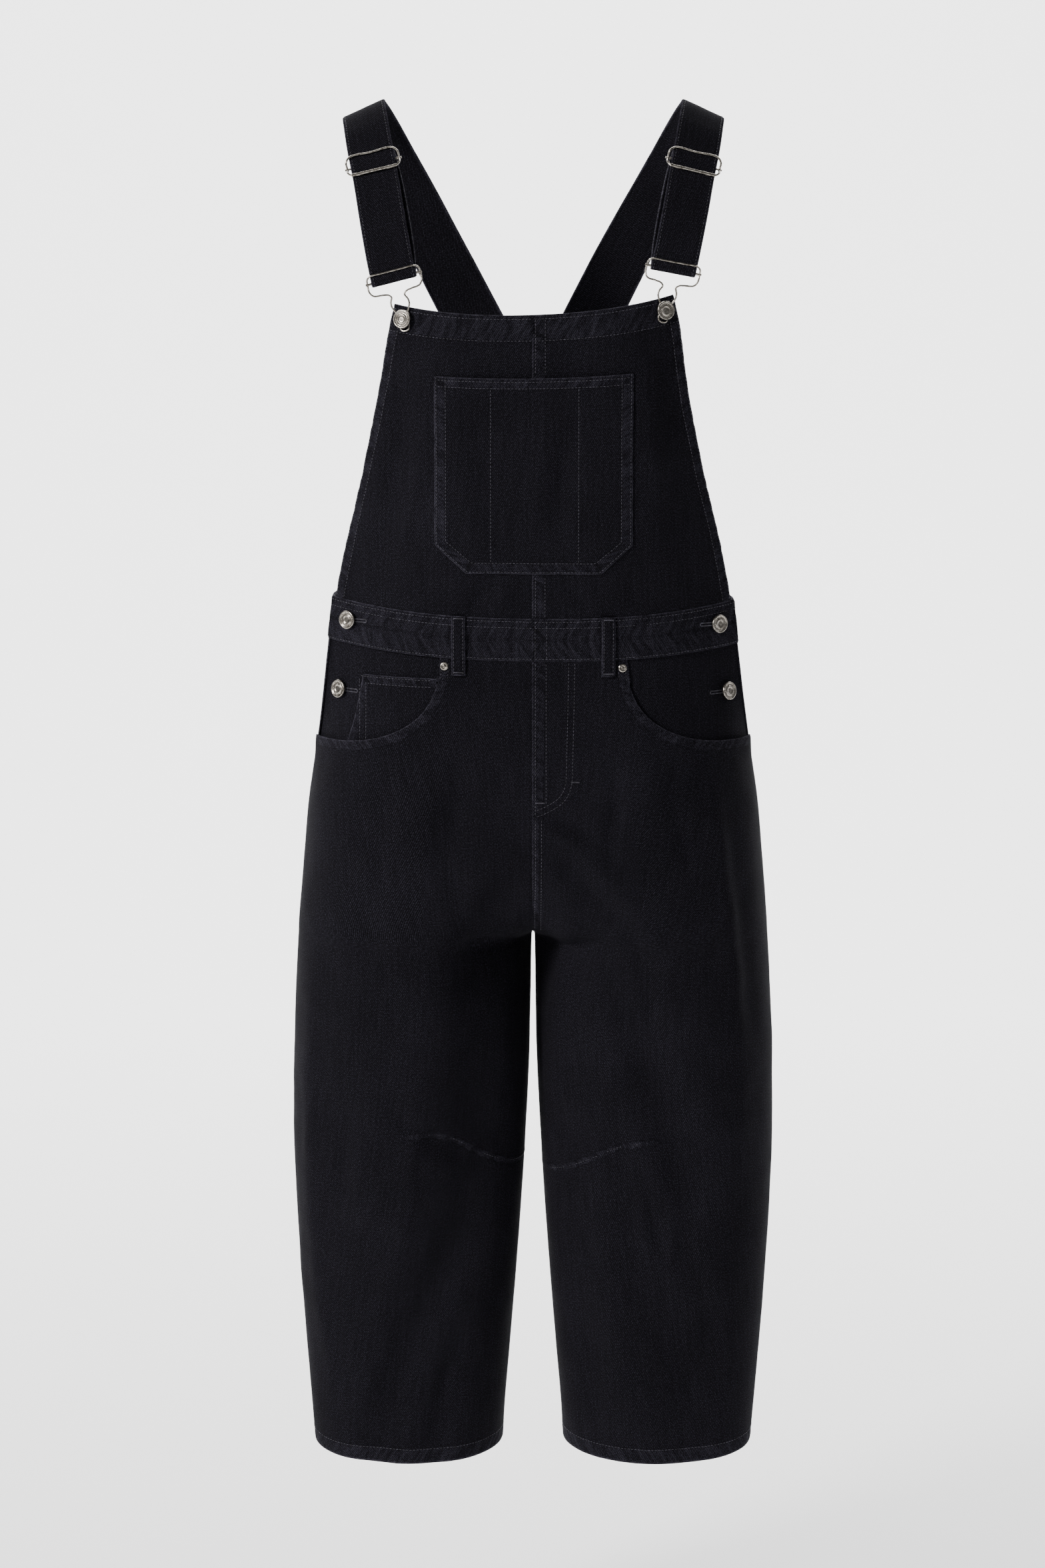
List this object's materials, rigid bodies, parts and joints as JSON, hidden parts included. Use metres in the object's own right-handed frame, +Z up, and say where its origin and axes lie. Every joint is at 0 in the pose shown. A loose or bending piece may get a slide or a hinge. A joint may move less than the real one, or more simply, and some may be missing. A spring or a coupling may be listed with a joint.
{
  "type": "denim dungarees",
  "caption": "Black denim dungarees with wide cropped legs, a bib with a patch pocket, crossed-back straps with wire hooks, sliders and metal buttons, filled out as when worn.",
  "frame": {"origin": "middle of the line on which the two straps lie on the wearer's shoulders", "axes": "+Z up the garment's length, -Y out of the front, +X to the wearer's left"},
  "size_m": [0.4534, 0.2559, 1.2789],
  "materials": {
    "denim": "washed black cotton twill",
    "nickel": "antique nickel plate"
  },
  "bodies": {
    "root": {"front_leg_left": "denim", "front_leg_right": "denim", "back_leg_left": "denim", "back_leg_right": "denim", "hip_facing_left": "denim", "hip_facing_right": "denim", "button_stand_left": "denim", "button_stand_right": "denim", "waistband_front_left": "denim", "waistband_front_right": "denim", "bib_left": "denim", "bib_right": "denim", "strap_left": "denim", "strap_right": "denim", "belt_loop_front_left": "denim", "belt_loop_front_right": "denim", "coin_pocket": "denim", "waistband_back": "denim", "bib_pocket": "denim", "back_bib": "denim", "belt_loop_back": "denim", "slider_left": "nickel", "slider_right": "nickel", "hook_left": "nickel", "hook_right": "nickel", "bib_button_left": "nickel", "bib_button_right": "nickel", "side_button_upper_left": "nickel", "side_button_upper_right": "nickel", "side_button_lower_left": "nickel", "side_button_lower_right": "nickel", "rivet_left": "nickel", "rivet_right": "nickel"}
  },
  "joints": []
}
